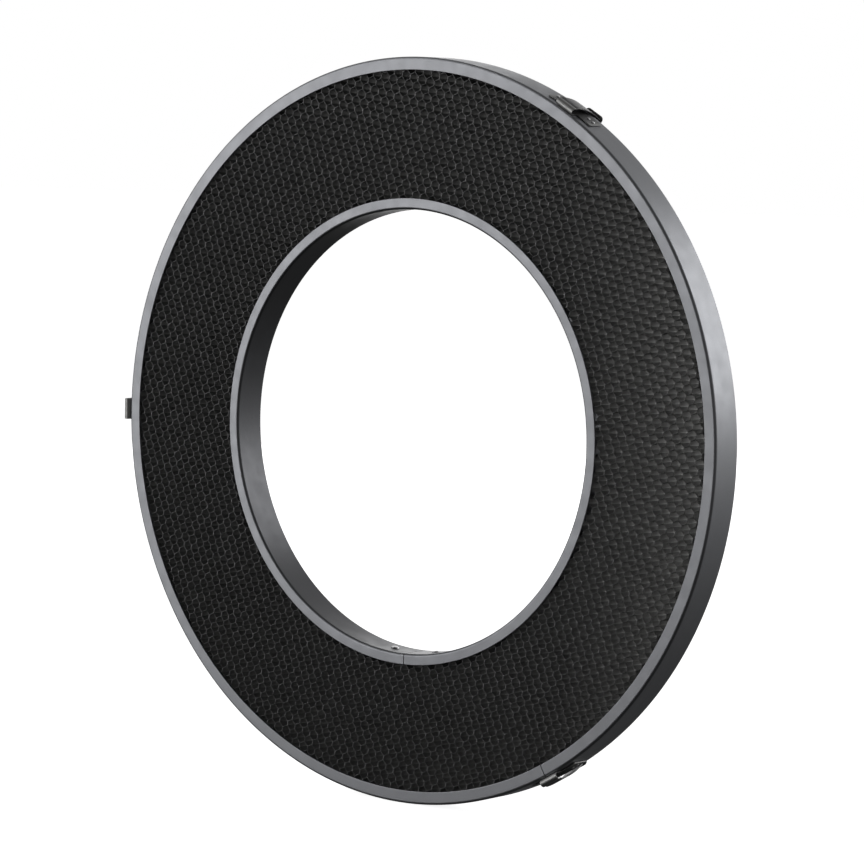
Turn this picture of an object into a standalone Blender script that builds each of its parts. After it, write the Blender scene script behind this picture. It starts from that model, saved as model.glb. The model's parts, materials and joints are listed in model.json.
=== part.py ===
"""Annular honeycomb light grid: two channel rims, the core between them, and three hook clips.

Metres, +Z up. The ring's axis lies along Y and its front faces -Y. The origin is the ring's centre
in the plane of its back faces, which seat on the reflector. Angles round the ring run clockwise
from the top, as seen from the front.
"""

import math

import bmesh
import bpy
from mathutils import Matrix, Vector

# Rims: channels rolled from sheet, with their open sides facing each other.
OUTER_RADIUS = 0.200
OUTER_FLANGE_WIDTH = 0.007
INNER_RADIUS = 0.119
INNER_FLANGE_WIDTH = 0.006
RIM_DEPTH = 0.020
RIM_SHEET = 0.001
RIM_BEND_RADIUS = 0.0014
BEND_STEPS = 3
RING_STEPS = 96
STRAP_STEPS = 10
ROUND_STEPS = 12
SEAM_GAP = 0.0005
OUTER_SEAM_ANGLE = math.radians(150.5)
INNER_SEAM_ANGLE = math.radians(179)

# Gaps: FIT lies between faces that touch on the real part, CORE_MARGIN clears the rivet tails.
FIT = 0.0003
CORE_MARGIN = 0.0013

# Clips: each has a base plate, a spring leaf, a sleeve on the leaf's hooked end and four rivets.
CLIP_ANGLES = [math.radians(angle) for angle in (30, 150, 270)]
CLIP_SHEET = 0.0005
PLATE_LENGTH = 0.031
PLATE_WIDTH = 0.0108
PLATE_CORNER = 0.0007
PLATE_STEPS = 8
LEAF_WIDTH = 0.0116
LEAF_END_WIDTH = 0.009

# The leaf turns back over the plate in a roll, rises to a crest, arches to the rear and ends in a hook.
# Its depths and heights are counted from the roll's centre, which is the axis it flexes about.
# FLEX_GAP is the part of the roll left open below, so that the leaf can flex by up to 20 degrees.
FLEX_DEPTH = 0.0008
FLEX_HEIGHT = 0.00225
ROLL_RADIUS = 0.0017
ROLL_END = math.radians(58)
ROLL_STEPS = 14
FLEX_GAP = math.radians(24)
CREST_DEPTH = 0.0029
CREST_HEIGHT = 0.0019
ARCH_RADIUS = 0.055
ARCH_REACH = 0.0252
ARCH_STEPS = 9
HOOK_BEND_RADIUS = 0.0025
HOOK_STEPS = 3
HOOK_SLOPE = math.radians(50)
HOOK_END = 0.0026

SLEEVE_RADIUS = 0.0026
SLEEVE_LENGTH = 0.0108
SLEEVE_EDGE = 0.0007
SLEEVE_STEPS = 16
SLEEVE_DEPTH = 0.0274
SLEEVE_DROP = 0.0056
SLEEVE_MARGIN = 0.0002
SLEEVE_SPAN = 6

RIVET_ANGLES = [math.radians(angle) for angle in (-3.75, -2.75, 2.75, 3.75)]
RIVET_SHANK = 0.0006
RIVET_HEAD = 0.001
RIVET_HEAD_HEIGHT = 0.00045
RIVET_HOLE = 0.0008
HOLE_REACH = 0.004

# A rivet's tail is set narrower and flatter than its head.
TAIL_WIDTH_SHARE = 0.85
TAIL_HEIGHT_SHARE = 0.8

# Inner rim joint: a strap behind the seam, held by two larger rivets.
STRAP_LENGTH = 0.040
STRAP_WIDTH = 0.010
STRAP_SHEET = 0.0008
JOINT_RIVET_OFFSET = 0.014
JOINT_RIVET_SHANK = 0.0010
JOINT_RIVET_HEAD = 0.0022
JOINT_RIVET_HEAD_HEIGHT = 0.0009
JOINT_RIVET_HOLE = 0.0013

# Name: base colour, metallic, roughness.
FINISHES = {
    "rim_paint": ((0.33, 0.34, 0.36), 0.7, 0.45),
    "core_foil": ((0.012, 0.012, 0.013), 0.3, 0.55),
    "clip_steel": ((0.36, 0.36, 0.37), 0.9, 0.38),
    "rivet_metal": ((0.62, 0.62, 0.63), 1.0, 0.30),
    "black_rubber": ((0.015, 0.015, 0.015), 0.0, 0.6),
}


def clear_scene():
    for item in list(bpy.data.objects):
        bpy.data.objects.remove(item, do_unlink=True)


def make_materials():
    materials = {}
    for name, (colour, metallic, roughness) in FINISHES.items():
        material = bpy.data.materials.new(name)
        material.use_nodes = True
        shader = material.node_tree.nodes["Principled BSDF"]
        shader.inputs["Base Color"].default_value = (*colour, 1.0)
        shader.inputs["Metallic"].default_value = metallic
        shader.inputs["Roughness"].default_value = roughness
        materials[name] = material
    return materials


def add_object(name, data, material=None, parent=None, matrix=None):
    """Link an object; matrix places it in its parent's frame. Without a material it is a cutter."""
    item = bpy.data.objects.new(name, data)
    bpy.context.collection.objects.link(item)
    item.parent = parent
    if matrix is not None:
        item.matrix_basis = matrix
    if material is not None and not data.materials:
        data.materials.append(material)
    if material is None:
        item.hide_render = True
        item.display_type = "WIRE"
    return item


def add_empty(name, matrix, parent=None):
    item = bpy.data.objects.new(name, None)
    bpy.context.collection.objects.link(item)
    item.parent = parent
    item.matrix_basis = matrix
    return item


def mesh_from(name, points, faces):
    """A mesh with its faces turned outward and its round parts shaded smooth."""
    mesh = bpy.data.meshes.new(name)
    mesh.from_pydata(points, [], faces)
    work = bmesh.new()
    work.from_mesh(mesh)
    bmesh.ops.recalc_face_normals(work, faces=work.faces)
    work.to_mesh(mesh)
    work.free()
    mesh.shade_smooth()
    mesh.set_sharp_from_angle(angle=math.radians(35))
    return mesh


def loft(name, sections, closed=False):
    """Join sections of equal point counts into one skin, with end faces unless it is closed."""
    count = len(sections[0])
    points = [point for section in sections for point in section]
    faces = []
    spans = len(sections) if closed else len(sections) - 1
    for i in range(spans):
        near = i * count
        far = (i + 1) % len(sections) * count
        for j in range(count):
            k = (j + 1) % count
            faces.append((near + j, near + k, far + k, far + j))
    if not closed:
        faces.append(tuple(range(count)))
        faces.append(tuple(range(len(points) - count, len(points))))
    return mesh_from(name, points, faces)


def ring_point(radius, y, angle):
    return (radius * math.sin(angle), y, radius * math.cos(angle))


def swept_ring(name, outline, start, end, steps, closed=False):
    """Sweep an outline of (radius, y) points about the Y axis from one angle to another."""
    stops = steps if closed else steps + 1
    sections = []
    for i in range(stops):
        angle = start + (end - start) * i / steps
        sections.append([ring_point(radius, y, angle) for radius, y in outline])
    return loft(name, sections, closed)


def turned(name, outline, steps):
    """Turn an outline of (radius, z) points, which starts and ends on the Z axis, about that axis."""
    rings = outline[1:-1]
    points = [(0.0, 0.0, outline[0][1])]
    for radius, z in rings:
        for i in range(steps):
            angle = 2 * math.pi * i / steps
            points.append((radius * math.cos(angle), radius * math.sin(angle), z))
    points.append((0.0, 0.0, outline[-1][1]))
    last = len(points) - 1
    faces = []
    for i in range(steps):
        k = (i + 1) % steps
        faces.append((0, 1 + i, 1 + k))
        faces.append((last, last - steps + i, last - steps + k))
        for ring in range(len(rings) - 1):
            near = 1 + ring * steps
            faces.append((near + i, near + k, near + steps + k, near + steps + i))
    return mesh_from(name, points, faces)


def hole_mesh(name, radius):
    """A round cutter along Z that reaches through every sheet on either side of its centre."""
    outline = [(0, -HOLE_REACH), (radius, -HOLE_REACH), (radius, HOLE_REACH), (0, HOLE_REACH)]
    return turned(name, outline, ROUND_STEPS)


def arc(centre, radius, start, end, steps):
    """Points of (u, v) on an arc, both ends included."""
    angles = [start + (end - start) * i / steps for i in range(steps + 1)]
    return [(centre[0] + radius * math.cos(a), centre[1] + radius * math.sin(a)) for a in angles]


def cut(item, cutter):
    modifier = item.modifiers.new("cut_" + cutter.name, "BOOLEAN")
    modifier.operation = "DIFFERENCE"
    modifier.object = cutter


def unite(item, other):
    modifier = item.modifiers.new("join_" + other.name, "BOOLEAN")
    modifier.operation = "UNION"
    modifier.object = other


def channel_outline(wall, flange_width, outward):
    """A rim's section as (radius, y): outward is 1 if the wall faces away from the axis, -1 if to it."""
    bend = wall - outward * RIM_BEND_RADIUS
    tip = wall - outward * flange_width
    inside = RIM_BEND_RADIUS - RIM_SHEET
    quarter = math.pi / 2
    skin = []
    for y, first, last in ((RIM_BEND_RADIUS - RIM_DEPTH, -quarter, 0), (-RIM_BEND_RADIUS, 0, quarter)):
        skin += arc((0, y), RIM_BEND_RADIUS, first, last, BEND_STEPS)
    back = []
    for y, first, last in ((-RIM_BEND_RADIUS, quarter, 0), (RIM_BEND_RADIUS - RIM_DEPTH, 0, -quarter)):
        back += arc((0, y), inside, first, last, 1)
    outline = [(tip, -RIM_DEPTH)]
    outline += [(bend + outward * u, v) for u, v in skin]
    outline += [(tip, 0.0), (tip, -RIM_SHEET)]
    outline += [(bend + outward * u, v) for u, v in back]
    outline += [(tip, RIM_SHEET - RIM_DEPTH)]
    return outline


def rim_mesh(name, wall, flange_width, outward, seam):
    half_gap = SEAM_GAP / 2 / wall
    outline = channel_outline(wall, flange_width, outward)
    return swept_ring(name, outline, seam + half_gap, seam + 2 * math.pi - half_gap, RING_STEPS)


def seat_matrix(angle, radius):
    """A frame on a rim's wall: X along the rim, Y to the back from the front plane, Z away from the axis."""
    return Matrix.Rotation(angle, 4, "Y") @ Matrix.Translation((0, -RIM_DEPTH, radius))


def radial_matrix(angle, radius, depth):
    """A frame on the wall at an angle from its parent seat, with Z along the radius there."""
    about_axis = Matrix.Translation((0, depth, -radius)) @ Matrix.Rotation(angle, 4, "Y")
    return about_axis @ Matrix.Translation((0, 0, radius))


def rivet_mesh(name, shank, head, head_height, grip_low, grip_high):
    """A set rivet along Z: a domed head above grip_high and a flatter tail below grip_low."""
    tail = head * TAIL_WIDTH_SHARE
    low = grip_low - head_height * TAIL_HEIGHT_SHARE
    dome = [(head * math.cos(a), head_height * math.sin(a)) for a in (0, math.pi / 6, math.pi / 3)]
    outline = [(0, low), (tail, low), (tail, grip_low), (shank, grip_low), (shank, grip_high)]
    outline += [(radius, grip_high + height) for radius, height in dome]
    outline += [(0, grip_high + head_height)]
    return turned(name, outline, ROUND_STEPS)


def plate_outline():
    """Half the plate's outline as (distance along, half width), from its middle to its rounded end."""
    straight = PLATE_LENGTH / 2 - PLATE_CORNER
    outline = [(straight * i / PLATE_STEPS, PLATE_WIDTH / 2) for i in range(PLATE_STEPS)]
    corner = (straight, PLATE_WIDTH / 2 - PLATE_CORNER)
    return outline + arc(corner, PLATE_CORNER, math.pi / 2, 0, 3)


def base_plate_mesh(name):
    """A plate rolled to the rim's curve, in a seat's frame."""
    half = plate_outline()
    outline = [(-along, width) for along, width in reversed(half[1:])] + half
    middle = RIM_DEPTH / 2
    sections = []
    for along, width in outline:
        angle = along / OUTER_RADIUS
        section = []
        for height, side in ((FIT, -1), (FIT + CLIP_SHEET, -1), (FIT + CLIP_SHEET, 1), (FIT, 1)):
            radius = OUTER_RADIUS + height
            across = middle + side * width
            section.append((radius * math.sin(angle), across, radius * math.cos(angle) - OUTER_RADIUS))
        sections.append(section)
    return loft(name, sections)


def root_mesh(name):
    """The flat root that carries the plate forward to the leaf's bend."""
    back = (RIM_DEPTH - PLATE_WIDTH) / 2 + PLATE_CORNER
    middle_height = FIT + CLIP_SHEET / 2
    path = [(back, middle_height), (FLEX_DEPTH, middle_height)]
    return strip_mesh(name, path, [LEAF_WIDTH] * 2, CLIP_SHEET)


def leaf_path():
    """The leaf's middle line as (depth, height) from the flex axis, with the width at each point."""
    path = arc((0, 0), ROLL_RADIUS, -math.pi / 2 - FLEX_GAP, ROLL_END - 2 * math.pi, ROLL_STEPS)
    arch_start = math.pi / 2 - math.asin(CREST_DEPTH / ARCH_RADIUS)
    arch_end = math.pi / 2 - math.asin(ARCH_REACH / ARCH_RADIUS)
    path += arc((0, CREST_HEIGHT - ARCH_RADIUS), ARCH_RADIUS, arch_start, arch_end, ARCH_STEPS)
    depth, height = path[-1]
    bend_centre = (
        depth - HOOK_BEND_RADIUS * math.cos(arch_end),
        height - HOOK_BEND_RADIUS * math.sin(arch_end),
    )
    path += arc(bend_centre, HOOK_BEND_RADIUS, arch_end, math.pi / 2 - HOOK_SLOPE, HOOK_STEPS)[1:]
    wide = len(path) - HOOK_STEPS
    path.append(beyond(path[-1], HOOK_END))
    widths = [LEAF_WIDTH] * wide + [LEAF_END_WIDTH] * (len(path) - wide)
    return path, widths


def beyond(point, distance):
    """A point further down the hook's slope."""
    return (point[0] + distance * math.cos(HOOK_SLOPE), point[1] - distance * math.sin(HOOK_SLOPE))


def strip_mesh(name, path, widths, thickness):
    """A flat strip along a path in the YZ plane."""
    sections = []
    for i, (point, width) in enumerate(zip(path, widths)):
        before = Vector(path[max(i - 1, 0)])
        after = Vector(path[min(i + 1, len(path) - 1)])
        along = (after - before).normalized()
        normal = Vector((-along.y, along.x)) * thickness / 2
        upper = Vector(point) + normal
        lower = Vector(point) - normal
        half = width / 2
        sections.append([(-half, *upper), (half, *upper), (half, *lower), (-half, *lower)])
    return loft(name, sections)


def sleeve_mesh(name):
    """The rubber sleeve's round bar along X, with rounded ends."""
    half = SLEEVE_LENGTH / 2
    face = SLEEVE_RADIUS - SLEEVE_EDGE
    outline = [(0, -half), (face, -half), (SLEEVE_RADIUS, SLEEVE_EDGE - half)]
    outline += [(SLEEVE_RADIUS, half - SLEEVE_EDGE), (face, half), (0, half)]
    mesh = turned(name, outline, SLEEVE_STEPS)
    centre = Matrix.Translation((0, SLEEVE_DEPTH, -SLEEVE_DROP))
    mesh.transform(centre @ Matrix.Rotation(math.pi / 2, 4, "Y"))
    return mesh


def build_rims(materials):
    outer = add_object(
        "outer_rim",
        rim_mesh("outer_rim", OUTER_RADIUS, OUTER_FLANGE_WIDTH, 1, OUTER_SEAM_ANGLE),
        materials["rim_paint"],
    )
    inner = add_object(
        "inner_rim",
        rim_mesh("inner_rim", INNER_RADIUS, INNER_FLANGE_WIDTH, -1, INNER_SEAM_ANGLE),
        materials["rim_paint"],
    )
    return outer, inner


def build_core(materials):
    """The honeycomb's outer shape: a solid ring that fills both channels up to the rivet tails."""
    front = RIM_SHEET + FIT - RIM_DEPTH
    back = -RIM_SHEET - FIT
    inside = INNER_RADIUS + RIM_SHEET + CORE_MARGIN + STRAP_SHEET
    outside = OUTER_RADIUS - RIM_SHEET - CORE_MARGIN
    outline = [(inside, front), (outside, front), (outside, back), (inside, back)]
    mesh = swept_ring("honeycomb_core", outline, 0, 2 * math.pi, RING_STEPS, closed=True)
    add_object("honeycomb_core", mesh, materials["core_foil"])


def build_inner_joint(materials, inner_rim):
    """The strap inside the channel that closes the inner rim's seam, and its two rivets."""
    low = INNER_RADIUS + RIM_SHEET + FIT
    high = low + STRAP_SHEET
    depths = (-(RIM_DEPTH + STRAP_WIDTH) / 2, -(RIM_DEPTH - STRAP_WIDTH) / 2)
    outline = [(low, depths[0]), (high, depths[0]), (high, depths[1]), (low, depths[1])]
    reach = STRAP_LENGTH / 2 / INNER_RADIUS
    start, end = INNER_SEAM_ANGLE - reach, INNER_SEAM_ANGLE + reach
    strap_mesh = swept_ring("inner_joint_strap", outline, start, end, STRAP_STEPS)
    strap = add_object("inner_joint_strap", strap_mesh, materials["rim_paint"])
    hole = hole_mesh("joint_rivet_hole", JOINT_RIVET_HOLE)
    grip = RIM_SHEET + FIT + STRAP_SHEET + FIT / 2
    rivet = rivet_mesh(
        "joint_rivet", JOINT_RIVET_SHANK, JOINT_RIVET_HEAD, JOINT_RIVET_HEAD_HEIGHT, -grip, FIT / 2
    )
    for index, side in enumerate((-1, 1), start=1):
        angle = INNER_SEAM_ANGLE + side * JOINT_RIVET_OFFSET / INNER_RADIUS
        outward_seat = seat_matrix(angle, INNER_RADIUS) @ Matrix.Translation((0, RIM_DEPTH / 2, 0))
        facing_axis = outward_seat @ Matrix.Rotation(math.pi, 4, "X")
        cutter = add_object(f"joint_hole_{index}", hole, matrix=facing_axis)
        cut(inner_rim, cutter)
        cut(strap, cutter)
        add_object(f"inner_joint_rivet_{index}", rivet, materials["rivet_metal"], matrix=facing_axis)


def clip_meshes():
    path, widths = leaf_path()
    slot_path = path[-SLEEVE_SPAN:-1] + [beyond(path[-1], SLEEVE_MARGIN)]
    slot_widths = [width + 2 * SLEEVE_MARGIN for width in widths[-SLEEVE_SPAN:]]
    grip_high = FIT + CLIP_SHEET + FIT / 2
    return {
        "base_plate": base_plate_mesh("base_plate"),
        "root": root_mesh("leaf_root"),
        "rivet_hole": hole_mesh("rivet_hole", RIVET_HOLE),
        "rivet": rivet_mesh(
            "rivet", RIVET_SHANK, RIVET_HEAD, RIVET_HEAD_HEIGHT, -RIM_SHEET - FIT / 2, grip_high
        ),
        "leaf": strip_mesh("spring_leaf", path, widths, CLIP_SHEET),
        "slot": strip_mesh("sleeve_slot", slot_path, slot_widths, CLIP_SHEET + 2 * SLEEVE_MARGIN),
        "sleeve": sleeve_mesh("hook_sleeve"),
    }


def build_clip(index, angle, meshes, materials, outer_rim):
    name = f"clip_{index}"
    seat = add_empty(name + "_seat", seat_matrix(angle, OUTER_RADIUS))
    plate = add_object(name + "_base_plate", meshes["base_plate"].copy(), materials["clip_steel"], seat)
    unite(plate, add_object(name + "_leaf_root", meshes["root"], None, seat))
    for number, offset in enumerate(RIVET_ANGLES, start=1):
        place = radial_matrix(offset, OUTER_RADIUS, RIM_DEPTH / 2)
        hole = add_object(f"{name}_rivet_hole_{number}", meshes["rivet_hole"], None, seat, place)
        cut(plate, hole)
        cut(outer_rim, hole)
        add_object(f"{name}_rivet_{number}", meshes["rivet"], materials["rivet_metal"], seat, place)
    flex_axis = add_empty(name + "_flex_axis", Matrix.Translation((0, FLEX_DEPTH, FLEX_HEIGHT)), seat)
    add_object(name + "_spring_leaf", meshes["leaf"], materials["clip_steel"], flex_axis)
    slot = add_object(name + "_sleeve_slot", meshes["slot"], None, flex_axis)
    sleeve = add_object(name + "_hook_sleeve", meshes["sleeve"].copy(), materials["black_rubber"], flex_axis)
    cut(sleeve, slot)


def main():
    clear_scene()
    materials = make_materials()
    outer_rim, inner_rim = build_rims(materials)
    build_core(materials)
    build_inner_joint(materials, inner_rim)
    meshes = clip_meshes()
    for index, angle in enumerate(CLIP_ANGLES, start=1):
        build_clip(index, angle, meshes, materials, outer_rim)


main()
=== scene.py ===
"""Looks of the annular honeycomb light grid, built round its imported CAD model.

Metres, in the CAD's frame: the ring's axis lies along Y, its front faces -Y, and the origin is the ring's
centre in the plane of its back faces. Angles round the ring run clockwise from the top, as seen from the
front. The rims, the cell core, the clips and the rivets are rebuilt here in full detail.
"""

import json
import math

import bmesh
import bpy
import numpy as np
from mathutils import Matrix, Vector


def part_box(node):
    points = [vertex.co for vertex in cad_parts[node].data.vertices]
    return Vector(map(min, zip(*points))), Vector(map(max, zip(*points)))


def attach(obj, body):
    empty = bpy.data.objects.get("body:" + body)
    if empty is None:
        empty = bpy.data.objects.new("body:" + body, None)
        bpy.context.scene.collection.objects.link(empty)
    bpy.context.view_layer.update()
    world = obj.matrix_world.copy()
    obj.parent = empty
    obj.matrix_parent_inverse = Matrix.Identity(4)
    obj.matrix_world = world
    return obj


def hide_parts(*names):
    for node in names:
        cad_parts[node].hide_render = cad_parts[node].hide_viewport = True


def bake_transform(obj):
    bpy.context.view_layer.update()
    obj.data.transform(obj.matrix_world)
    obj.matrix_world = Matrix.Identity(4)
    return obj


# Rims: channels rolled from sheet, with their open sides facing each other.
OUTER_RADIUS = 0.200
OUTER_FLANGE_WIDTH = 0.007
OUTER_SEAM_ANGLE = math.radians(150.5)
INNER_RADIUS = 0.119
INNER_FLANGE_WIDTH = 0.006
INNER_SEAM_ANGLE = math.radians(179)
RIM_DEPTH = 0.020
RIM_SHEET = 0.001
RIM_BEND_RADIUS = 0.0014
RIM_EDGE_RADIUS = 0.00025
SEAM_GAP = 0.0005
RING_STEPS = 480
BEND_STEPS = 8
INNER_BEND_STEPS = 4
EDGE_STEPS = 3

# Core: ribbons of black foil, bonded side to side along short flats and pulled open into cells.
# Rows of flats lie across the ribbons, and CELL_WIDTH is two ribbons' breadth.
RIBBON_TILT = math.radians(12.75)
CELL_WIDTH = 0.00554
ROW_PITCH = 0.00428
FLAT_LENGTH = 0.0026
FOIL = 0.0001
BOND_GAP = 0.00002
FOLD_RADIUS = 0.0004
FLAT_JITTER = 0.00004
CELL_DRIFT = 0.0004
CORE_GAP = 0.0013
CORE_INSIDE = 0.1223
CORE_OUTSIDE = 0.1976
CORE_PIECES = 4
CUT_UNEVENNESS = 0.00008
CORE_SEED = 7

# Painted light on the foil changes between these places across the ring, from left to right: towards the
# right its walls are painted brighter and its cut edges darker.
PAINTED_LIGHT_SPAN = (0.1, 0.2)

# Clips. Depths and heights of the leaf are taken from the flex axis, the centre of its roll.
FIT = 0.0003
CLIP_SHEET = 0.0005
PLATE_LENGTH = 0.031
PLATE_WIDTH = 0.0108
PLATE_CORNER = 0.0007
PLATE_CORNER_END = math.radians(8)
PLATE_CORNER_STEPS = 5
LEAF_WIDTH = 0.0116
LEAF_END_WIDTH = 0.009
FLEX_DEPTH = 0.0008
FLEX_HEIGHT = 0.00225
ROLL_RADIUS = 0.0017
ROLL_END = math.radians(58)
ROLL_STEPS = 36
CREST_DEPTH = 0.0029
CREST_HEIGHT = 0.0019
ARCH_RADIUS = 0.055
ARCH_REACH = 0.0252
ARCH_STEPS = 30
HOOK_BEND_RADIUS = 0.0025
HOOK_STEPS = 8
HOOK_SLOPE = math.radians(50)
HOOK_END = 0.0026
SLEEVE_RADIUS = 0.0026
SLEEVE_LENGTH = 0.0108
SLEEVE_DEPTH = 0.0274
SLEEVE_DROP = 0.0056
SLEEVE_MARGIN = 0.0002
SLEEVE_SOFTNESS = 0.55
SLEEVE_END_STEPS = 6
SLEEVE_STEPS = 40
SLOT_POINTS = 14
SHEET_EDGE = 0.00012
HOLD = 0.00006

# Brightening of the clips' colour, from 0 to 1: on the plate's cut edges, and as a painted highlight on the
# roll; and how far back on the roll the painted highlight reaches, in roll radii.
EDGE_BRIGHTENING = 0.8
ROLL_HIGHLIGHT = 0.8
ROLL_HIGHLIGHT_REACH = 0.3

# Rivets. A tail's size is given as a share of its head's, and a head's shape by its rim and its dome.
RIVET_ANGLES = [math.radians(angle) for angle in (-3.75, -2.75, 2.75, 3.75)]
RIVET_SHANK = 0.0006
RIVET_HEAD = 0.001
RIVET_HEAD_HEIGHT = 0.00045
RIVET_TAIL_WIDTH = 0.85
RIVET_TAIL_HEIGHT = 0.8
RIVET_TAIL_FLAT = 0.8
RIVET_TAIL_CHAMFER = 0.3
RIVET_HEAD_FOOT = 0.97
RIVET_HEAD_RIM = 0.12
RIVET_DOME_ANGLES = [math.radians(angle) for angle in (18, 32, 46, 60, 75)]
RIVET_STEPS = 32
JOINT_RIVET_OFFSET = 0.014
JOINT_RIVET_SHANK = 0.0010
JOINT_RIVET_HEAD = 0.0022
JOINT_RIVET_HEAD_HEIGHT = 0.0009
STRAP_LENGTH = 0.040
STRAP_WIDTH = 0.010
STRAP_SHEET = 0.0008
STRAP_STEPS = 30

# Camera: it looks at the ring's front from the right, from slightly above and a little tilted.
CAMERA_AZIMUTH = math.radians(38.29)
CAMERA_ELEVATION = math.radians(4.66)
CAMERA_ROLL = math.radians(1.22)
CAMERA_DISTANCE = 2.028
CAMERA_SIDESTEP = 0.0143
CAMERA_RISE = 0.0002
CAMERA_LENS = 158.1
CAMERA_SENSOR = 36

# Studio: the walls' brightness by the height that a ray points to, from -1 to 1, the share of it by how far
# back the ray points, from -1 at the front (-Y) to 1, and the softboxes as name, place, width and power.
WALLS = [
    (-1.0, 0.04),
    (-0.55, 0.06),
    (-0.35, 0.12),
    (-0.08, 0.38),
    (0.25, 0.58),
    (0.45, 0.42),
    (0.7, 0.28),
    (1.0, 0.3),
]
DEPTH_SHARE = [(-1.0, 0.18), (-0.2, 0.2), (0.3, 0.6), (0.6, 1.0)]
SOFTBOXES = [
    ("key_softbox", (-1.35, -1.5, 0.25), 1.4, 9.5),
    ("high_left_softbox", (-1.2, -1.2, 1.7), 1.0, 3),
    ("back_right_softbox", (1.1, 1.75, 0.72), 1.3, 9),
    ("back_left_softbox", (-1.3, 1.75, 0.2), 1.6, 9),
]
FLOOR_GLOW = 0.9
FLOOR_HALF = 12.0
FLOOR_STEPS = 24


# Meshes


def mesh_from(name, points, faces, sharp=35):
    """A mesh with its faces turned outward, shaded smooth up to an angle in degrees."""
    mesh = bpy.data.meshes.new(name)
    mesh.from_pydata([tuple(point) for point in points], [], faces)
    work = bmesh.new()
    work.from_mesh(mesh)
    bmesh.ops.recalc_face_normals(work, faces=work.faces)
    work.to_mesh(mesh)
    work.free()
    mesh.shade_smooth()
    mesh.set_sharp_from_angle(angle=math.radians(sharp))
    return mesh


def loft(name, sections, sharp=35):
    """Join sections of equal point counts into one skin with end faces."""
    count = len(sections[0])
    points = [point for section in sections for point in section]
    faces = []
    for i in range(len(sections) - 1):
        near = i * count
        far = near + count
        for j in range(count):
            k = (j + 1) % count
            faces.append((near + j, near + k, far + k, far + j))
    faces.append(tuple(range(count)))
    faces.append(tuple(range(len(points) - count, len(points))))
    return mesh_from(name, points, faces, sharp)


def turned(name, outline, steps):
    """Turn an outline of (radius, z) points, which starts and ends on the Z axis, about that axis."""
    points = [(0.0, 0.0, outline[0][1])]
    for radius, z in outline[1:-1]:
        for i in range(steps):
            angle = math.tau * i / steps
            points.append((radius * math.cos(angle), radius * math.sin(angle), z))
    points.append((0.0, 0.0, outline[-1][1]))
    last = len(points) - 1
    faces = []
    for i in range(steps):
        k = (i + 1) % steps
        faces.append((0, 1 + i, 1 + k))
        faces.append((last, last - steps + i, last - steps + k))
        for ring in range(len(outline) - 3):
            near = 1 + ring * steps
            faces.append((near + i, near + k, near + steps + k, near + steps + i))
    return mesh_from(name, points, faces)


def arc(centre, radius, start, end, steps):
    """Points of (u, v) on an arc, both ends included."""
    angles = [start + (end - start) * i / steps for i in range(steps + 1)]
    return [(centre[0] + radius * math.cos(a), centre[1] + radius * math.sin(a)) for a in angles]


def held(outline, hold):
    """The outline with two more points on each long straight run, near its ends, to keep it flatly shaded."""
    result = []
    for i, point in enumerate(outline):
        start, end = Vector(point), Vector(outline[(i + 1) % len(outline)])
        run = end - start
        result.append(point)
        if run.length > 5 * hold:
            result += [tuple(start + run.normalized() * hold), tuple(end - run.normalized() * hold)]
    return result


def rounded_box(u0, u1, v0, v1, radius):
    """A rectangle's outline of (u, v) points with rounded corners."""
    quarter = math.pi / 2
    outline = []
    for index, (u, v) in enumerate(((u1, v1), (u0, v1), (u0, v0), (u1, v0))):
        middle_u = u - math.copysign(radius, u - (u0 + u1) / 2)
        middle_v = v - math.copysign(radius, v - (v0 + v1) / 2)
        outline += arc((middle_u, middle_v), radius, index * quarter, (index + 1) * quarter, EDGE_STEPS)
    return held(outline, HOLD)


def ring_point(radius, y, angle):
    """A point at an angle round the ring's axis."""
    return (radius * math.sin(angle), y, radius * math.cos(angle))


def seat_matrix(angle, radius):
    """A frame on a rim's wall: X along the rim, Y to the back from the front plane, Z away from the axis."""
    return Matrix.Rotation(angle, 4, "Y") @ Matrix.Translation((0, -RIM_DEPTH, radius))


def radial_matrix(angle, radius, depth):
    """A frame on the wall at an angle from its parent seat, with Z along the radius there."""
    about_axis = Matrix.Translation((0, depth, -radius)) @ Matrix.Rotation(angle, 4, "Y")
    return about_axis @ Matrix.Translation((0, 0, radius))


def show(name, mesh, material, matrix, nodes, body="root"):
    """Link a piece in the row frame, make it ride on a body and stand for its CAD nodes."""
    item = bpy.data.objects.new(name, mesh)
    bpy.context.scene.collection.objects.link(item)
    mesh.transform(matrix)
    mesh.materials.clear()
    mesh.materials.append(material)
    if body:
        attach(item, body)
    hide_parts(*nodes)
    return item


# Materials


def fill_ramp(node, stops):
    """Set a colour ramp's stops, as positions from 0 to 1 and colours, and give its colour socket."""
    elements = node.color_ramp.elements
    while len(elements) < len(stops):
        elements.new(0.5)
    for element, (position, colour) in zip(elements, stops):
        element.position = position
        element.color = (*colour, 1.0)
    return node.outputs["Color"]


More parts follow.
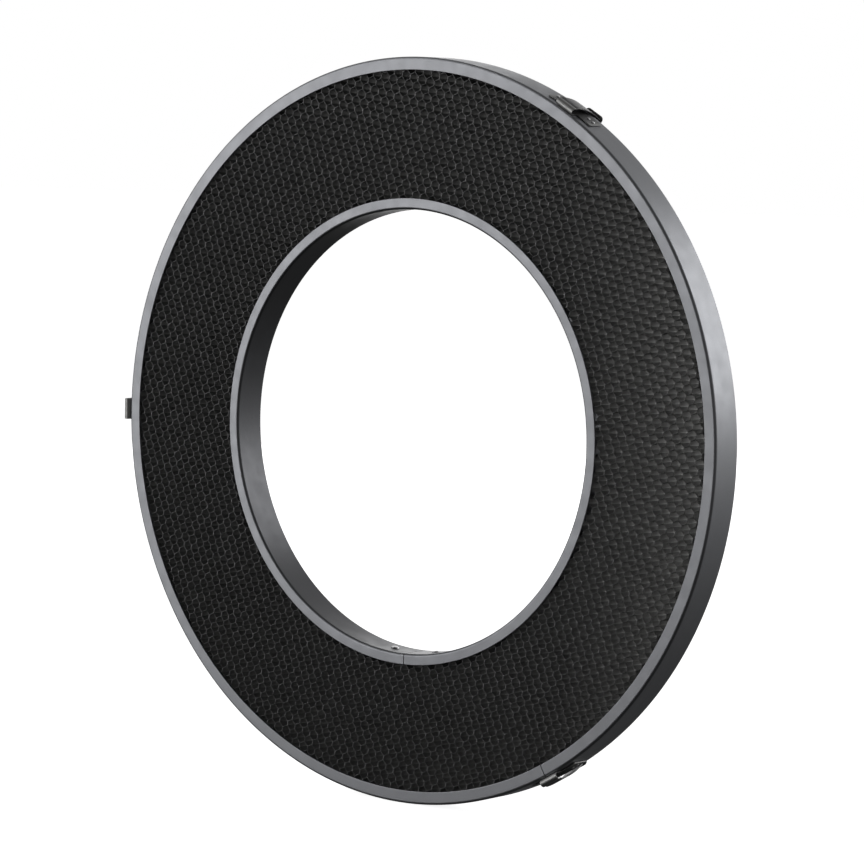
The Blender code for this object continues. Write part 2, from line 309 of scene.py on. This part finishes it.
class Shader:
    """A Principled material and short ways to add nodes to it."""

    def __init__(self, name, **settings):
        self.material = bpy.data.materials.new(name)
        self.material.use_nodes = True
        self.tree = self.material.node_tree
        self.principled = self.tree.nodes["Principled BSDF"]
        self.coordinates = self.add("ShaderNodeTexCoord").outputs["Object"]
        for socket, value in settings.items():
            self.principled.inputs[socket.replace("_", " ")].default_value = value

    def add(self, kind, **inputs):
        node = self.tree.nodes.new(kind)
        for socket, value in inputs.items():
            self.feed(node.inputs[socket.replace("_", " ")], value)
        return node

    def feed(self, socket, value):
        if isinstance(value, bpy.types.NodeSocket):
            self.tree.links.new(value, socket)
        else:
            socket.default_value = value

    def noise(self, scale, detail, stretch=(1, 1, 1)):
        place = self.add("ShaderNodeMapping", Vector=self.coordinates, Scale=stretch)
        node = self.add("ShaderNodeTexNoise", Vector=place.outputs[0], Scale=scale, Detail=detail)
        return node.outputs["Fac"]

    def ramp(self, value, stops):
        return fill_ramp(self.add("ShaderNodeValToRGB", Fac=value), stops)

    def remap(self, value, low, high, source=(0.3, 0.7)):
        node = self.add("ShaderNodeMapRange", Value=value)
        node.inputs["From Min"].default_value = source[0]
        node.inputs["From Max"].default_value = source[1]
        node.inputs["To Min"].default_value = low
        node.inputs["To Max"].default_value = high
        return node.outputs["Result"]

    def mix(self, share, one, other):
        node = self.add("ShaderNodeMix")
        node.data_type = "RGBA"
        self.feed(node.inputs["Factor"], share)
        self.feed(node.inputs["A"], one if isinstance(one, bpy.types.NodeSocket) else (*one, 1.0))
        self.feed(node.inputs["B"], other if isinstance(other, bpy.types.NodeSocket) else (*other, 1.0))
        return node.outputs["Result"]

    def bump(self, height, distance, strength):
        node = self.add("ShaderNodeBump", Height=height, Distance=distance, Strength=strength)
        return node.outputs["Normal"]

    def attribute(self, name):
        node = self.add("ShaderNodeAttribute")
        node.attribute_name = name
        return node.outputs["Fac"]

    def finish(self, **links):
        for socket, value in links.items():
            self.feed(self.principled.inputs[socket.replace("_", " ")], value)
        return self.material


def rim_paint():
    """Grey metallic lacquer: fine flakes, a faint orange peel and slow changes of tone, with a painted shade
    that darkens a rim's wall.
    """
    shader = Shader("rim_paint", Metallic=0.82, Specular_IOR_Level=0.5)
    slow = shader.noise(18, detail=2)
    flakes = shader.noise(5200, detail=1)
    tone = shader.ramp(slow, [(0.3, (0.355, 0.362, 0.385)), (0.7, (0.385, 0.392, 0.412))])
    sparkle = shader.ramp(flakes, [(0.42, (0.33, 0.336, 0.355)), (0.68, (0.46, 0.468, 0.49))])
    lacquer = shader.mix(0.35, tone, sparkle)
    # Painted shade: the colour goes to a near-black grey where the painted shade is full, on the inner rim's
    # wall.
    colour = shader.mix(shader.attribute("painted_wall_shade"), lacquer, (0.145, 0.147, 0.155))
    roughness = shader.remap(shader.noise(140, detail=4), 0.36, 0.44)
    peel = shader.bump(shader.noise(1500, detail=2), 0.00002, 0.35)
    return shader.finish(Base_Color=colour, Roughness=roughness, Normal=peel)


def core_foil():
    """Dark anodised foil that passes light from wall to wall, with painted light by place: its walls are
    painted brighter towards the right, and its cut edges paler towards the left.
    """
    shader = Shader("core_foil", Metallic=0.9)
    normal = shader.add("ShaderNodeNewGeometry").outputs["True Normal"]
    depth = shader.add("ShaderNodeSeparateXYZ", Vector=normal).outputs["Y"]
    facing = shader.add("ShaderNodeMath", Value=depth)
    facing.operation = "ABSOLUTE"
    cut = shader.remap(facing.outputs[0], 0, 1, source=(0.6, 0.8))
    across = shader.add("ShaderNodeSeparateXYZ", Vector=shader.coordinates).outputs["X"]
    # Painted light by place across the ring: towards the right the walls are painted brighter and the cut
    # edges darker.
    right = shader.remap(across, 0, 1, source=PAINTED_LIGHT_SPAN)
    tone = shader.attribute("tone")
    shaded_left_wall = shader.ramp(tone, [(0.0, (0.28, 0.28, 0.278)), (1.0, (0.36, 0.36, 0.355))])
    lit_right_wall = shader.ramp(tone, [(0.0, (0.5, 0.5, 0.495)), (1.0, (0.64, 0.64, 0.63))])
    mottle = shader.noise(700, detail=3)
    lit_left_edge = shader.ramp(mottle, [(0.35, (0.15, 0.15, 0.151)), (0.65, (0.36, 0.36, 0.362))])
    shaded_right_edge = shader.ramp(mottle, [(0.35, (0.03, 0.03, 0.03)), (0.65, (0.07, 0.07, 0.07))])
    wall = shader.mix(right, shaded_left_wall, lit_right_wall)
    edge = shader.mix(right, lit_left_edge, shaded_right_edge)
    colour = shader.mix(cut, wall, edge)
    roughness = shader.remap(shader.noise(900, detail=3), 0.42, 0.54)
    dents = shader.bump(shader.noise(700, detail=4), 0.00005, 0.5)
    return shader.finish(Base_Color=colour, Roughness=roughness, Normal=dents)


def clip_steel():
    """Rolled spring steel with fine lines and dark stains, with a painted highlight on the roll and brighter
    cut edges on the plate.
    """
    shader = Shader("clip_steel", Metallic=1.0)
    stain = shader.noise(260, detail=4)
    oxide = shader.ramp(stain, [(0.35, (0.17, 0.17, 0.173)), (0.65, (0.27, 0.27, 0.273))])
    # Painted highlight on the roll, and brighter cut edges on the plate: both mix towards a bright steel
    # colour.
    tone = shader.mix(shader.attribute("highlight_and_edge"), oxide, (0.52, 0.52, 0.51))
    lines = shader.noise(2600, detail=3, stretch=(1, 0.05, 1))
    roughness = shader.remap(lines, 0.42, 0.58)
    grain = shader.bump(lines, 0.00001, 0.4)
    return shader.finish(Base_Color=tone, Roughness=roughness, Normal=grain)


def rivet_metal():
    """Bright upset metal with a soft hammered face."""
    shader = Shader("rivet_metal", Metallic=1.0)
    tone = shader.ramp(shader.noise(900, detail=3), [(0.35, (0.70, 0.70, 0.71)), (0.65, (0.86, 0.86, 0.87))])
    roughness = shader.remap(shader.noise(2200, detail=2), 0.24, 0.38)
    dents = shader.bump(shader.noise(1600, detail=2), 0.00003, 0.5)
    return shader.finish(Base_Color=tone, Roughness=roughness, Normal=dents)


def black_rubber():
    """Matte black rubber with a fine moulded grain."""
    shader = Shader("black_rubber", Metallic=0.0, Specular_IOR_Level=0.35)
    mottle = shader.noise(700, detail=3)
    tone = shader.ramp(mottle, [(0.3, (0.010, 0.010, 0.010)), (0.7, (0.020, 0.020, 0.020))])
    roughness = shader.remap(shader.noise(2400, detail=2), 0.50, 0.66)
    grain = shader.bump(shader.noise(4200, detail=2), 0.00002, 0.5)
    return shader.finish(Base_Color=tone, Roughness=roughness, Normal=grain)


# Rims


def channel_outline(flange_width):
    """A rim's section as (u, y): u is 0 on the wall's outer face and negative towards the flanges' tips."""
    quarter = math.pi / 2
    inside = RIM_BEND_RADIUS - RIM_SHEET
    near, far = -RIM_BEND_RADIUS, RIM_BEND_RADIUS - RIM_DEPTH
    edge = RIM_EDGE_RADIUS
    tip = edge - flange_width
    outline = arc((tip, edge - RIM_DEPTH), edge, 2 * quarter, 3 * quarter, EDGE_STEPS)
    outline += arc((-RIM_BEND_RADIUS, far), RIM_BEND_RADIUS, -quarter, 0, BEND_STEPS)
    outline += arc((-RIM_BEND_RADIUS, near), RIM_BEND_RADIUS, 0, quarter, BEND_STEPS)
    outline += arc((tip, -edge), edge, quarter, 2 * quarter, EDGE_STEPS)
    outline += arc((tip, edge - RIM_SHEET), edge, 2 * quarter, 3 * quarter, EDGE_STEPS)
    outline += arc((-RIM_BEND_RADIUS, near), inside, quarter, 0, INNER_BEND_STEPS)
    outline += arc((-RIM_BEND_RADIUS, far), inside, 0, -quarter, INNER_BEND_STEPS)
    outline += arc((tip, RIM_SHEET - edge - RIM_DEPTH), edge, quarter, 2 * quarter, EDGE_STEPS)
    return held(outline, 2 * HOLD)


def build_rim(name, wall, flange_width, outward, seam, painted_wall_shade, material):
    """A rim from one side of its seam to the other; its wall carries a painted shade from 0 to 1, which
    darkens its colour.
    """
    half_gap = SEAM_GAP / 2 / wall
    outline = channel_outline(flange_width)
    sections = []
    for i in range(RING_STEPS + 1):
        angle = seam + half_gap + (math.tau - 2 * half_gap) * i / RING_STEPS
        sections.append([ring_point(wall + outward * u, y, angle) for u, y in outline])
    mesh = loft(name, sections, sharp=40)
    # Painted shade: full on the wall's face, fading to none across the bends towards the flanges.
    levels = [painted_wall_shade * max(0.0, 1 + u / RIM_BEND_RADIUS) for u, _ in outline]
    mesh.attributes.new("painted_wall_shade", "FLOAT", "POINT").data.foreach_set("value", levels * len(sections))
    show(name + "_channel", mesh, material, Matrix.Identity(4), [name])


# Core


def drift(points):
    """Slow sideways wander of the cells, as stretched foil has."""
    x, z = points[:, 0], points[:, 1]
    along = np.sin(31 * x + 17 * z + 0.4) + 0.6 * np.sin(74 * z - 22 * x + 1.9)
    across = np.sin(27 * z - 19 * x + 2.2) + 0.6 * np.sin(66 * x + 31 * z + 0.7)
    return np.stack([along, across], axis=1) * CELL_DRIFT / 1.6


def ribbon_line(ribbon, rows, jitter):
    """A ribbon's middle line in the XZ plane, with each fold as three points.

    Ribbon k runs between lines k and k + 1, which lie half a cell's width apart. It is bonded to ribbon
    k - 1 on the even lines in odd rows, and on the odd lines in even rows, and to ribbon k + 1 on the rest.
    """
    corners = []
    for row in rows:
        line = ribbon if (ribbon + row) % 2 else ribbon + 1
        side = 1 if line == ribbon else -1
        shift = jitter[line % len(jitter), row % len(jitter)]
        across = line * CELL_WIDTH / 2 + side * (FOIL + BOND_GAP) / 2 + shift[0]
        along = row * ROW_PITCH + shift[1]
        corners += [(across, along - FLAT_LENGTH / 2), (across, along + FLAT_LENGTH / 2)]
    corners = np.array(corners)
    steps = np.diff(corners, axis=0)
    steps /= np.linalg.norm(steps, axis=1)[:, None]
    middle = corners[1:-1]
    first = middle - steps[:-1] * FOLD_RADIUS
    last = middle + steps[1:] * FOLD_RADIUS
    top = middle / 2 + (first + last) / 4
    line = np.stack([first, top, last], axis=1).reshape(-1, 2)
    cosine, sine = math.cos(RIBBON_TILT), math.sin(RIBBON_TILT)
    placed = line @ np.array([[cosine, -sine], [sine, cosine]])
    return placed + drift(placed)


def cut_to_ring(line):
    """The stretches of a line that lie in the core's ring, each cut off on the ring's circles."""
    radii = np.hypot(line[:, 0], line[:, 1])
    inside = (radii > CORE_INSIDE) & (radii < CORE_OUTSIDE)
    stretches = []
    current = []
    for i, held in enumerate(inside):
        if i and held != inside[i - 1]:
            limit = CORE_OUTSIDE if max(radii[i], radii[i - 1]) > CORE_OUTSIDE else CORE_INSIDE
            share = (limit - radii[i - 1]) / (radii[i] - radii[i - 1])
            current.append(line[i - 1] + (line[i] - line[i - 1]) * share)
            if not held:
                stretches.append(np.array(current))
                current = []
        if held:
            current.append(line[i])
    return [stretch for stretch in stretches if len(stretch) > 3]


def foil_sections(line, random):
    """A foil strip's four-point sections along a line, with a slightly uneven cut front and back."""
    ahead = np.gradient(line, axis=0)
    ahead /= np.linalg.norm(ahead, axis=1)[:, None]
    side = np.stack([-ahead[:, 1], ahead[:, 0]], axis=1) * FOIL / 2
    front = CORE_GAP - RIM_DEPTH + random.uniform(0, CUT_UNEVENNESS, len(line))
    back = -CORE_GAP - random.uniform(0, CUT_UNEVENNESS, len(line))
    sections = np.empty((len(line), 4, 3))
    for index, (edge, depth) in enumerate(
        ((line + side, front), (line + side, back), (line - side, back), (line - side, front))
    ):
        sections[:, index, 0] = edge[:, 0]
        sections[:, index, 1] = depth
        sections[:, index, 2] = edge[:, 1]
    return sections


def build_core(material):
    """The ribbons, in a few pieces side by side."""
    random = np.random.default_rng(CORE_SEED)
    reach = int(CORE_OUTSIDE / (CELL_WIDTH / 2)) + 2
    rows = range(-int(CORE_OUTSIDE / ROW_PITCH) - 2, int(CORE_OUTSIDE / ROW_PITCH) + 3)
    jitter = random.normal(0, FLAT_JITTER, (2 * reach + 3, 2 * reach + 3, 2))
    ribbons = range(-reach, reach + 1)
    size = -(-len(ribbons) // CORE_PIECES)
    for piece in range(CORE_PIECES):
        points, faces, tones = [], [], []
        for ribbon in ribbons[piece * size : (piece + 1) * size]:
            for line in cut_to_ring(ribbon_line(ribbon, rows, jitter)):
                sections = foil_sections(line, random)
                start = len(points)
                points += sections.reshape(-1, 3).tolist()
                tones += np.repeat(random.uniform(0, 1, len(line)), 4).tolist()
                end = start + 4 * len(line) - 4
                for near in range(start, end, 4):
                    for j in range(4):
                        k = (j + 1) % 4
                        faces.append((near + j, near + k, near + 4 + k, near + 4 + j))
                faces += [tuple(range(start, start + 4)), tuple(range(end, end + 4))]
        name = f"honeycomb_ribbons_{piece + 1}"
        mesh = mesh_from(name, points, faces, sharp=45)
        mesh.attributes.new("tone", "FLOAT", "POINT").data.foreach_set("value", tones)
        show(name, mesh, material, Matrix.Identity(4), ["honeycomb_core"])


# Clips


def leaf_line():
    """The leaf's middle line as (depth, height) from the flex axis, and the width at each point."""
    line = arc((0, 0), ROLL_RADIUS, -math.pi / 2, ROLL_END - math.tau, ROLL_STEPS)
    valley = line[-1]
    start = math.pi / 2 - math.asin(CREST_DEPTH / ARCH_RADIUS)
    end = math.pi / 2 - math.asin(ARCH_REACH / ARCH_RADIUS)
    arch = arc((0, CREST_HEIGHT - ARCH_RADIUS), ARCH_RADIUS, start, end, ARCH_STEPS)
    line += eased(valley, arch[0])
    line += arch
    depth, height = line[-1]
    centre = (depth - HOOK_BEND_RADIUS * math.cos(end), height - HOOK_BEND_RADIUS * math.sin(end))
    wide = len(line)
    line += arc(centre, HOOK_BEND_RADIUS, end, math.pi / 2 - HOOK_SLOPE, HOOK_STEPS)[1:]
    line += [beyond(line[-1], HOOK_END * share) for share in (0.25, 0.5, 0.75, 1.0)]
    taper = (LEAF_WIDTH - LEAF_END_WIDTH) / HOOK_STEPS
    hook_widths = [LEAF_WIDTH - taper * min(i, HOOK_STEPS) for i in range(1, len(line) - wide + 1)]
    return line, [LEAF_WIDTH] * wide + hook_widths


def eased(start, end):
    """Points of the small S-shaped rise between the roll and the crest, without its ends."""
    shares = (0.2, 0.4, 0.6, 0.8)
    depths = [start[0] + (end[0] - start[0]) * share for share in shares]
    heights = [start[1] + (end[1] - start[1]) * share * share * (3 - 2 * share) for share in shares]
    return list(zip(depths, heights))


def beyond(point, distance):
    """A point further down the hook's slope."""
    return (point[0] + distance * math.cos(HOOK_SLOPE), point[1] - distance * math.sin(HOOK_SLOPE))


def strip_mesh(name, line, widths, thickness, edge):
    """A strip with rounded edges along a line in the YZ plane."""
    sections = []
    for i, (point, width) in enumerate(zip(line, widths)):
        before = Vector(line[max(i - 1, 0)])
        after = Vector(line[min(i + 1, len(line) - 1)])
        along = (after - before).normalized()
        normal = Vector((-along.y, along.x))
        outline = rounded_box(-width / 2, width / 2, -thickness / 2, thickness / 2, edge)
        sections.append([(x, point[0] + normal.x * v, point[1] + normal.y * v) for x, v in outline])
    return loft(name, sections)


def add_brightening(mesh, rule):
    """Store how far each point of a clip's mesh is brightened, by a rule from 0 to 1."""
    levels = [rule(vertex.co) for vertex in mesh.vertices]
    mesh.attributes.new("highlight_and_edge", "FLOAT", "POINT").data.foreach_set("value", levels)


def roll_painted_highlight(point):
    """A painted highlight on the roll's outer face, from its front to its top."""
    if math.hypot(point.y, point.z) < ROLL_RADIUS or point.y > ROLL_HIGHLIGHT_REACH * ROLL_RADIUS:
        return 0.0
    return min(1.0, ROLL_HIGHLIGHT - point.y / ROLL_RADIUS)


def plate_edge_brightening(point):
    """The plate's cut edges are bright."""
    across = abs(point.y - RIM_DEPTH / 2)
    at_side = PLATE_WIDTH / 2 - SHEET_EDGE / 2 < across < PLATE_WIDTH / 2 + SHEET_EDGE
    at_end = abs(point.x) > PLATE_LENGTH / 2 - PLATE_CORNER
    return EDGE_BRIGHTENING if at_side or at_end else 0.0


def plate_mesh(name):
    """The base plate with its tab towards the leaf, rolled to the rim's curve, in a seat's frame."""
    half = PLATE_LENGTH / 2
    tab = LEAF_WIDTH / 2
    wide = PLATE_WIDTH / 2
    middle = RIM_DEPTH / 2
    centre = (half - PLATE_CORNER, wide - PLATE_CORNER)
    corner = arc(centre, PLATE_CORNER, math.pi / 2, PLATE_CORNER_END, PLATE_CORNER_STEPS)
    straight = [(tab + SHEET_EDGE, wide)]
    straight += [(tab + (centre[0] - tab) * share, wide) for share in (0.25, 0.5, 0.75)]
    # Each station: its place along the rim, its reach to the front and to the back, and its edge's inset.
    right = [(along, width, width, 0.0) for along, width in straight + corner]
    last = corner[-1][1] - SHEET_EDGE
    right.append((half, last, last, SHEET_EDGE))
    left = [(-along, *rest) for along, *rest in reversed(right)]
    tongue = [(tab * share, middle - FLEX_DEPTH, wide, 0.0) for share in (-1.0, -0.5, 0.0, 0.5, 1.0)]
    sections = []
    for along, front, back, inset in left + tongue + right:
        low, high = FIT + inset, FIT + CLIP_SHEET - inset
        angle = along / OUTER_RADIUS
        section = []
        for depth, height in rounded_box(middle - front, middle + back, low, high, SHEET_EDGE):
            radius = OUTER_RADIUS + height
            section.append((radius * math.sin(angle), depth, radius * math.cos(angle) - OUTER_RADIUS))
        sections.append(section)
    return loft(name, sections)


def rivet_mesh(name, shank, head, head_height, grip_low, grip_high):
    """A set rivet along Z: a domed head above grip_high and a flatter tail below grip_low."""
    tail = head * RIVET_TAIL_WIDTH
    low = grip_low - RIVET_TAIL_HEIGHT * head_height
    rim = grip_high + RIVET_HEAD_RIM * head_height
    dome = (1 - RIVET_HEAD_RIM) * head_height
    outline = [(0, low), (tail * RIVET_TAIL_FLAT, low), (tail, low + RIVET_TAIL_CHAMFER * head_height)]
    outline += [(tail, grip_low), (shank, grip_low), (shank, grip_high), (head * RIVET_HEAD_FOOT, grip_high)]
    outline.append((head, rim))
    outline += [(head * math.cos(angle), rim + dome * math.sin(angle)) for angle in RIVET_DOME_ANGLES]
    outline.append((0, grip_high + head_height))
    return turned(name, outline, RIVET_STEPS)


def sleeve_mesh(name, line, widths):
    """The rubber sleeve's round bar along X, with soft ends and the slot that the hook's end sits in."""
    half = SLEEVE_LENGTH / 2
    soft = SLEEVE_RADIUS * SLEEVE_SOFTNESS
    end = arc((soft - half, SLEEVE_RADIUS - soft), soft, math.pi, math.pi / 2, SLEEVE_END_STEPS)
    outline = [(0, -half)] + [(radius, along) for along, radius in end]
    outline += [(radius, -along) for radius, along in reversed(outline)]
    bar = turned(name, outline, SLEEVE_STEPS)
    place = Matrix.Translation((0, SLEEVE_DEPTH, -SLEEVE_DROP)) @ Matrix.Rotation(math.pi / 2, 4, "Y")
    bar.transform(place)
    slot_line = line[-SLOT_POINTS:] + [beyond(line[-1], SLEEVE_MARGIN)]
    slot_widths = [width + 2 * SLEEVE_MARGIN for width in widths[-SLOT_POINTS:] + widths[-1:]]
    slot = strip_mesh(name + "_slot", slot_line, slot_widths, CLIP_SHEET + 2 * SLEEVE_MARGIN, SHEET_EDGE)
    return carved(bar, slot)


def carved(mesh, cutter):
    """The mesh with the cutter's shape taken out of it."""
    items = [bpy.data.objects.new(part.name, part) for part in (mesh, cutter)]
    for item in items:
        bpy.context.scene.collection.objects.link(item)
    modifier = items[0].modifiers.new("slot", "BOOLEAN")
    modifier.operation = "DIFFERENCE"
    modifier.object = items[1]
    bpy.context.view_layer.update()
    graph = bpy.context.evaluated_depsgraph_get()
    result = bpy.data.meshes.new_from_object(items[0].evaluated_get(graph))
    for item in items:
        bpy.data.objects.remove(item, do_unlink=True)
    result.set_sharp_from_angle(angle=math.radians(40))
    return result


def build_clips(materials):
    """The clips, one at each flex joint of the part."""
    line, widths = leaf_line()
    plate = plate_mesh("base_plate")
    leaf = strip_mesh("spring_leaf", line, widths, CLIP_SHEET, SHEET_EDGE)
    add_brightening(leaf, roll_painted_highlight)
    add_brightening(plate, plate_edge_brightening)
    sleeve = sleeve_mesh("hook_sleeve", line, widths)
    grip_high = FIT + CLIP_SHEET + FIT / 2
    rivet = rivet_mesh("rivet", RIVET_SHANK, RIVET_HEAD, RIVET_HEAD_HEIGHT, -RIM_SHEET - FIT / 2, grip_high)
    steel = materials["clip_steel"]
    rubber = materials["black_rubber"]
    for joint in frame["joints"]:
        hook = joint["child"]
        clip = hook.removesuffix("_hook")
        seat = seat_matrix(math.atan2(joint["pos_m"][0], joint["pos_m"][2]), OUTER_RADIUS)
        flex = seat @ Matrix.Translation((0, FLEX_DEPTH, FLEX_HEIGHT))
        show(clip + "_plate", plate.copy(), steel, seat, [clip + "_base_plate"])
        nodes = [clip + "_spring_leaf"]
        bent = show(clip + "_leaf", leaf.copy(), steel, flex, nodes, body=None)
        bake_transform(bent)
        nodes = [clip + "_hook_sleeve"]
        show(clip + "_sleeve", sleeve.copy(), rubber, flex, nodes, body=hook)
        for number, offset in enumerate(RIVET_ANGLES, start=1):
            place = seat @ radial_matrix(offset, OUTER_RADIUS, RIM_DEPTH / 2)
            name = f"{clip}_rivet_{number}"
            show(name + "_head", rivet.copy(), materials["rivet_metal"], place, [name])


def build_inner_joint(materials):
    """The strap inside the channel that closes the inner rim's seam, and its two rivets."""
    low = INNER_RADIUS + RIM_SHEET + FIT
    front = -(RIM_DEPTH + STRAP_WIDTH) / 2
    outline = rounded_box(low, low + STRAP_SHEET, front, front + STRAP_WIDTH, SHEET_EDGE)
    reach = STRAP_LENGTH / 2 / INNER_RADIUS
    sections = []
    for i in range(STRAP_STEPS + 1):
        angle = INNER_SEAM_ANGLE - reach + 2 * reach * i / STRAP_STEPS
        sections.append([ring_point(radius, y, angle) for radius, y in outline])
    strap = loft("joint_strap", sections)
    paint = materials["rim_paint"]
    show("joint_strap", strap, paint, Matrix.Identity(4), ["inner_joint_strap"])
    grip = RIM_SHEET + FIT + STRAP_SHEET + FIT / 2
    rivet = rivet_mesh(
        "joint_rivet", JOINT_RIVET_SHANK, JOINT_RIVET_HEAD, JOINT_RIVET_HEAD_HEIGHT, -grip, FIT / 2
    )
    for index, side in enumerate((-1, 1), start=1):
        angle = INNER_SEAM_ANGLE + side * JOINT_RIVET_OFFSET / INNER_RADIUS
        outward = seat_matrix(angle, INNER_RADIUS) @ Matrix.Translation((0, RIM_DEPTH / 2, 0))
        inward = outward @ Matrix.Rotation(math.pi, 4, "X")
        node = f"inner_joint_rivet_{index}"
        show(f"joint_rivet_{index}", rivet.copy(), materials["rivet_metal"], inward, [node])


# Studio


def build_floor():
    """A large pale floor that the ring stands on."""
    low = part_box("outer_rim")[0].z
    levels = [FLOOR_HALF * (2 * i / FLOOR_STEPS - 1) for i in range(FLOOR_STEPS + 1)]
    points = [(x, y, low) for x in levels for y in levels]
    faces = []
    for i in range(FLOOR_STEPS):
        for j in range(FLOOR_STEPS):
            near = i * (FLOOR_STEPS + 1) + j
            far = near + FLOOR_STEPS + 1
            faces.append((near, near + 1, far + 1, far))
    floor = bpy.data.objects.new("floor", mesh_from("floor", points, faces))
    bpy.context.scene.collection.objects.link(floor)
    shader = Shader("floor_paint", Roughness=1.0, Base_Color=(0.9, 0.9, 0.9, 1), Emission_Color=(1, 1, 1, 1))
    floor.data.materials.append(shader.finish(Emission_Strength=FLOOR_GLOW))
    floor.visible_glossy = False
    floor.visible_diffuse = False


def level_ramp(tree, value, stops):
    """Grey levels by a value from -1 to 1."""
    share = tree.nodes.new("ShaderNodeMapRange")
    share.inputs["From Min"].default_value = -1
    share.inputs["From Max"].default_value = 1
    tree.links.new(value, share.inputs["Value"])
    ramp = tree.nodes.new("ShaderNodeValToRGB")
    tree.links.new(share.outputs["Result"], ramp.inputs["Fac"])
    return fill_ramp(ramp, [((place + 1) / 2, (level, level, level)) for place, level in stops])


def build_world():
    """A studio that is bright at eye level and dark below, and plain white behind the object."""
    world = bpy.data.worlds.new("studio")
    world.use_nodes = True
    bpy.context.scene.world = world
    tree = world.node_tree
    lit = tree.nodes["Background"]
    seen = tree.nodes.new("ShaderNodeBackground")
    seen.inputs["Color"].default_value = (1, 1, 1, 1)
    seen.inputs["Strength"].default_value = 1.0
    direction = tree.nodes.new("ShaderNodeTexCoord")
    parts = tree.nodes.new("ShaderNodeSeparateXYZ")
    tree.links.new(direction.outputs["Generated"], parts.inputs[0])
    tree.links.new(level_ramp(tree, parts.outputs["Z"], WALLS), lit.inputs["Color"])
    tree.links.new(level_ramp(tree, parts.outputs["Y"], DEPTH_SHARE), lit.inputs["Strength"])
    rays = tree.nodes.new("ShaderNodeLightPath")
    choose = tree.nodes.new("ShaderNodeMixShader")
    tree.links.new(rays.outputs["Is Camera Ray"], choose.inputs["Fac"])
    tree.links.new(lit.outputs[0], choose.inputs[1])
    tree.links.new(seen.outputs[0], choose.inputs[2])
    tree.links.new(choose.outputs[0], tree.nodes["World Output"].inputs["Surface"])


def add_softbox(name, place, size, power):
    """A square softbox that faces the ring's centre."""
    light = bpy.data.lights.new(name, "AREA")
    light.shape = "SQUARE"
    light.size = size
    light.energy = power
    item = bpy.data.objects.new(name, light)
    item.location = place
    item.rotation_mode = "QUATERNION"
    item.rotation_quaternion = (-Vector(place)).to_track_quat("-Z", "Y")
    item.visible_camera = False
    bpy.context.scene.collection.objects.link(item)


def build_camera():
    """The camera, turned towards the centre of the ring's front and then stepped aside."""
    camera = bpy.data.cameras.new("camera")
    camera.lens = CAMERA_LENS
    camera.sensor_width = CAMERA_SENSOR
    item = bpy.data.objects.new("camera", camera)
    bpy.context.scene.collection.objects.link(item)
    level = math.cos(CAMERA_ELEVATION)
    forward = Vector(
        (-math.sin(CAMERA_AZIMUTH) * level, math.cos(CAMERA_AZIMUTH) * level, -math.sin(CAMERA_ELEVATION))
    )
    turn = forward.to_track_quat("-Z", "Y").to_matrix() @ Matrix.Rotation(CAMERA_ROLL, 3, "Z")
    sidestep = turn @ Vector((CAMERA_SIDESTEP, CAMERA_RISE, 0))
    place = Vector((0, -RIM_DEPTH, 0)) - forward * CAMERA_DISTANCE + sidestep
    item.matrix_world = Matrix.Translation(place) @ turn.to_4x4()
    bpy.context.scene.camera = item


def main():
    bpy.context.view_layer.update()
    makers = (rim_paint, core_foil, clip_steel, rivet_metal, black_rubber)
    materials = {make.__name__: make() for make in makers}
    paint = materials["rim_paint"]
    # The inner rim's wall carries a painted shade; the outer rim's wall carries none.
    build_rim("outer_rim", OUTER_RADIUS, OUTER_FLANGE_WIDTH, 1, OUTER_SEAM_ANGLE, 0, paint)
    build_rim("inner_rim", INNER_RADIUS, INNER_FLANGE_WIDTH, -1, INNER_SEAM_ANGLE, 1, paint)
    build_core(materials["core_foil"])
    build_clips(materials)
    build_inner_joint(materials)
    build_floor()
    build_world()
    for name, place, size, power in SOFTBOXES:
        add_softbox(name, place, size, power)
    build_camera()
    bpy.context.scene.view_settings.view_transform = "Standard"


with open("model.json") as file:
    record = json.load(file)
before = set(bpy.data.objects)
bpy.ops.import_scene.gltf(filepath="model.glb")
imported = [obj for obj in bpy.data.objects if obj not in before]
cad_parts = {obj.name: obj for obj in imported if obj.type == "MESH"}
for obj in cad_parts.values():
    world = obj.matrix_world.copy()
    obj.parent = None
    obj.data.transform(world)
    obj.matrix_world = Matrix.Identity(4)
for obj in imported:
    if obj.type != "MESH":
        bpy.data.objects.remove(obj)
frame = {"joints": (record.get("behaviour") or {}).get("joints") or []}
main()
